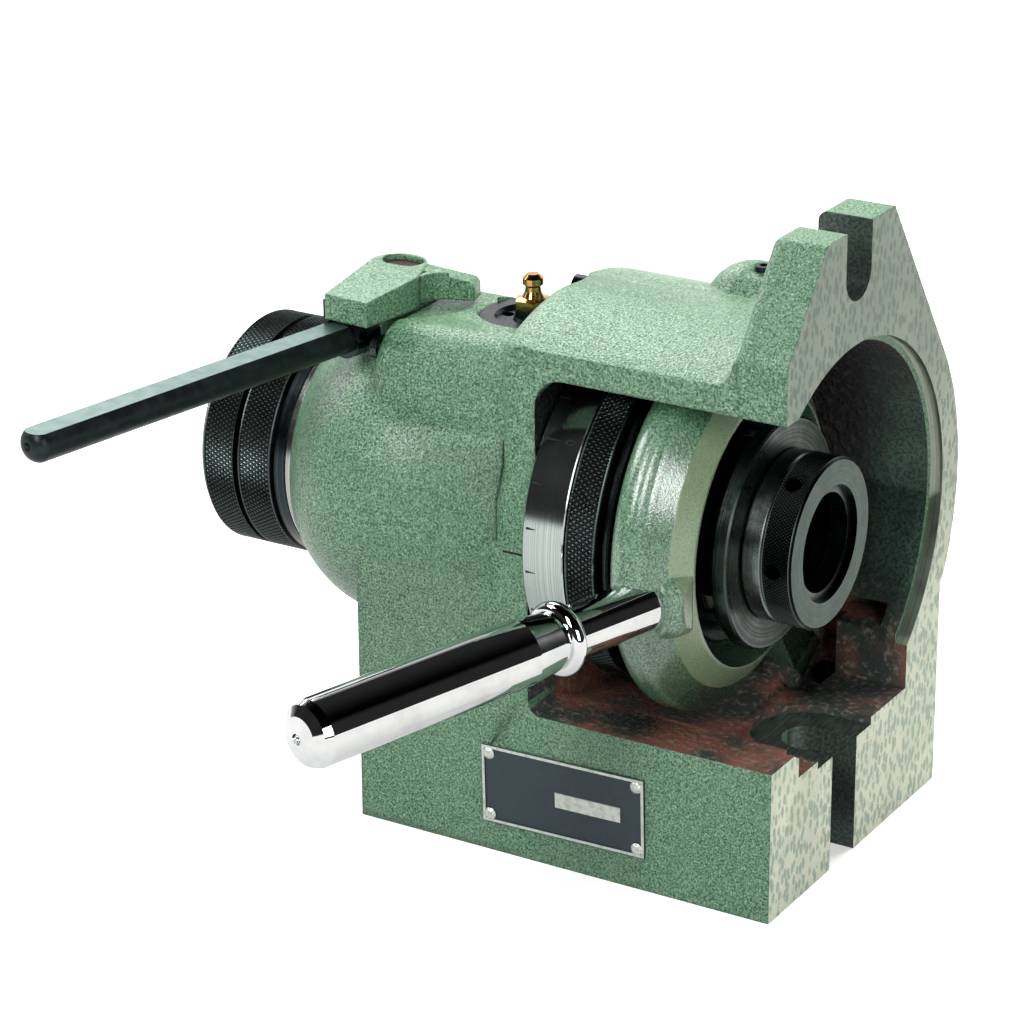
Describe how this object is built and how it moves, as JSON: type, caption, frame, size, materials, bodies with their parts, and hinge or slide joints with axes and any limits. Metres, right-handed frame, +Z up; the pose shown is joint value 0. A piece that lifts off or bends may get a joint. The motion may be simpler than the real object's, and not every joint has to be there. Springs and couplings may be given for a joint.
{
  "type": "collet indexer",
  "caption": "Collet indexing head in a cast housing that lies on its base or stands on its flange, with an indexing lever, a graduated dial and a hand-lever collet closer.",
  "frame": {"origin": "on the base's underside, straight below the spindle axis, halfway along the base", "axes": "+X along the spindle towards the flange face, +Y towards the back wall, +Z up"},
  "size_m": [0.203, 0.2453, 0.1965],
  "materials": {
    "green_paint": "grey-green hammered enamel over cast iron, machined faces bare",
    "black_oxide": "black oxide steel, knurled on the grips",
    "ground_steel": "ground and turned steel",
    "satin_chrome_dial": "satin chrome with black graduations",
    "bearing_steel": "ground bearing steel",
    "polished_chrome": "bright chrome plate",
    "brass": "bright turned brass",
    "black_nameplate": "bare black plate with a bright raised rim",
    "felt": "pressed felt"
  },
  "bodies": {
    "frame": {"body_casting": "green_paint", "nose_seal": "felt", "bearing_cap": "ground_steel", "bearing_cap_screws": "black_oxide", "front_bearing_cup": "bearing_steel", "rear_bearing_cup": "bearing_steel", "fulcrum_bracket": "green_paint", "bracket_screws": "black_oxide", "fulcrum_pin": "ground_steel", "index_bush": "ground_steel", "oil_cap": "black_oxide", "grease_nipple": "brass", "nameplate": "black_nameplate", "nameplate_rivets": "ground_steel", "oil_plug": "black_oxide", "arm_plug": "black_oxide", "stop_screw": "ground_steel"},
    "spindle_body": {"spindle": "ground_steel", "collet_key": "black_oxide", "thread_protector": "black_oxide", "nose_shield": "black_oxide", "index_plate": "ground_steel", "front_bearing_cone": "bearing_steel", "front_bearing_rollers": "bearing_steel", "rear_bearing_cone": "bearing_steel", "rear_bearing_rollers": "bearing_steel", "spacer_sleeve": "ground_steel", "preload_nut": "black_oxide", "closer_body": "black_oxide", "finger_pins": "ground_steel"},
    "dial_body": {"graduated_dial": "satin_chrome_dial"},
    "lock_ring_body": {"dial_lock_ring": "black_oxide"},
    "sleeve_body": {"shifter_sleeve": "black_oxide"},
    "finger_1_body": {"closer_finger_1": "ground_steel"},
    "finger_2_body": {"closer_finger_2": "ground_steel"},
    "finger_3_body": {"closer_finger_3": "ground_steel"},
    "thrust_body": {"thrust_flange": "ground_steel"},
    "draw_tube_body": {"draw_tube": "ground_steel", "draw_collar": "ground_steel", "adjusting_nut": "black_oxide"},
    "closer_lever_body": {"yoke": "green_paint", "yoke_shoes": "ground_steel", "closer_handle": "polished_chrome"},
    "index_lever_body": {"index_lever": "green_paint", "bar_socket": "black_oxide", "lever_bar": "black_oxide", "lever_pin": "ground_steel"},
    "plunger_body": {"index_plunger": "ground_steel"}
  },
  "joints": [
    {"name": "spindle_spin", "type": "hinge", "parent": "frame", "child": "spindle_body", "pos_m": [0, 0, 0.1], "axis": [1, 0, 0], "continuous": true},
    {"name": "dial_turn", "type": "hinge", "parent": "spindle_body", "child": "dial_body", "pos_m": [-0.0101, 0, 0.1], "axis": [1, 0, 0], "continuous": true},
    {"name": "lock_ring_turn", "type": "hinge", "parent": "spindle_body", "child": "lock_ring_body", "pos_m": [0.0037, 0, 0.1], "axis": [1, 0, 0], "continuous": true},
    {"name": "closer_lever_swing", "type": "hinge", "parent": "frame", "child": "closer_lever_body", "pos_m": [0.03, 0.03945, 0.04303], "axis": [0, 0.8221, 0.5693], "range_deg": [0, 6]},
    {"name": "sleeve_slide", "type": "slide", "parent": "spindle_body", "child": "sleeve_body", "axis": [1, 0, 0], "range_m": [0, 0.0074]},
    {"name": "finger_1_rock", "type": "hinge", "parent": "spindle_body", "child": "finger_1_body", "pos_m": [0.035, 0, 0.1276], "axis": [0, -1, 0], "range_deg": [-7, 0]},
    {"name": "finger_2_rock", "type": "hinge", "parent": "spindle_body", "child": "finger_2_body", "pos_m": [0.035, -0.0239, 0.0862], "axis": [0, 0.5, -0.866], "range_deg": [-7, 0]},
    {"name": "finger_3_rock", "type": "hinge", "parent": "spindle_body", "child": "finger_3_body", "pos_m": [0.035, 0.0239, 0.0862], "axis": [0, 0.5, 0.866], "range_deg": [-7, 0]},
    {"name": "thrust_slide", "type": "slide", "parent": "spindle_body", "child": "thrust_body", "axis": [1, 0, 0], "range_m": [-0.0005, 0]},
    {"name": "draw_tube_turn", "type": "hinge", "parent": "thrust_body", "child": "draw_tube_body", "pos_m": [0.05, 0, 0.1], "axis": [1, 0, 0], "continuous": true},
    {"name": "index_lever_swing", "type": "hinge", "parent": "frame", "child": "index_lever_body", "pos_m": [-0.0815, 0, 0.152], "axis": [0, 0, 1], "range_deg": [-35, 0]},
    {"name": "plunger_slide", "type": "slide", "parent": "index_lever_body", "child": "plunger_body", "axis": [0, 0, 1], "range_m": [-0.0041, 0]}
  ],
  "couplings": [
    {"joint": "sleeve_slide", "follows": "closer_lever_swing", "m_per_rad": 0.0693},
    {"joint": "finger_1_rock", "follows": "closer_lever_swing", "ratio": -1.146},
    {"joint": "finger_2_rock", "follows": "closer_lever_swing", "ratio": -1.146},
    {"joint": "finger_3_rock", "follows": "closer_lever_swing", "ratio": -1.146},
    {"joint": "thrust_slide", "follows": "closer_lever_swing", "m_per_rad": -0.00458},
    {"joint": "plunger_slide", "follows": "index_lever_swing", "m_per_rad": 0.006548}
  ]
}
